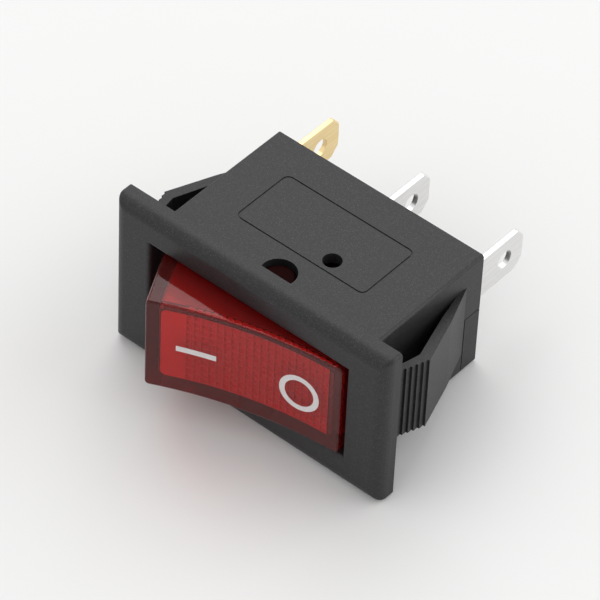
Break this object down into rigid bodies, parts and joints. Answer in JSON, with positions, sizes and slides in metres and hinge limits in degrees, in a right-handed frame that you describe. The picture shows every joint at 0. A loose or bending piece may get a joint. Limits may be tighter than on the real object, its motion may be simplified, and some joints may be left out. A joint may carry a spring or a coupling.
{
  "type": "panel rocker switch",
  "caption": "Snap-in panel rocker switch: black bezel and case, lit red rocker, sprung plunger, tipping contact lever and quick-connect tabs.",
  "frame": {"origin": "centre of the face of the bezel that seats on the panel", "axes": "+Y into the panel, towards the tabs; +X along the bezel's long side, towards the off end; +Z across the bezel"},
  "size_m": [0.0312, 0.03, 0.0174],
  "materials": {
    "black_plastic": "matt black moulded plastic with a fine grain",
    "base_plastic": "matt black moulded plastic",
    "red_clear": "clear red polished plastic",
    "white_plastic": "natural white plastic",
    "copper": "bright rolled copper strip",
    "silver": "silver contact face",
    "tinned": "tin-plated brass",
    "brass": "bare rolled brass",
    "glass": "clear drawn glass",
    "wire": "tinned wire",
    "spring_steel": "spring wire",
    "resistor_body": "tan coated resistor"
  },
  "bodies": {
    "case": {"housing": "black_plastic", "rear_base": "base_plastic", "load_terminal": "tinned", "common_terminal": "tinned", "lamp_terminal": "brass", "fixed_contact": "silver", "lamp_spring_feed": "spring_steel", "lamp_spring_return": "spring_steel"},
    "rocker": {"rocker": "red_clear", "plunger_spring": "spring_steel", "lamp_bulb": "glass", "lamp_electrode_feed": "wire", "lamp_electrode_return": "wire", "lamp_wire_feed": "wire", "lamp_wire_return": "wire", "resistor": "resistor_body", "resistor_wire": "wire"},
    "plunger": {"plunger": "white_plastic"},
    "lever": {"contact_lever": "copper", "moving_contact": "silver"}
  },
  "joints": [
    {"name": "rocker_tilt", "type": "hinge", "parent": "case", "child": "rocker", "pos_m": [0, 0.00207, 0], "axis": [0, 0, -1], "range_deg": [0, 30.8], "deforming": ["lamp_spring_feed", "lamp_spring_return"]},
    {"name": "plunger_slide", "type": "slide", "parent": "rocker", "child": "plunger", "axis": [0.2656, -0.9641, 0], "range_m": [0, 0.0006], "stiffness_N_per_m": 400, "springref_m": -0.0015, "deforming": ["plunger_spring"]},
    {"name": "lever_tip", "type": "hinge", "parent": "case", "child": "lever", "pos_m": [0, 0.00975, 0.002], "axis": [0, 0, 1], "range_deg": [0, 16.1]}
  ],
  "couplings": [
    {"joint": "lever_tip", "follows": "rocker_tilt", "ratio": 0.51948}
  ]
}
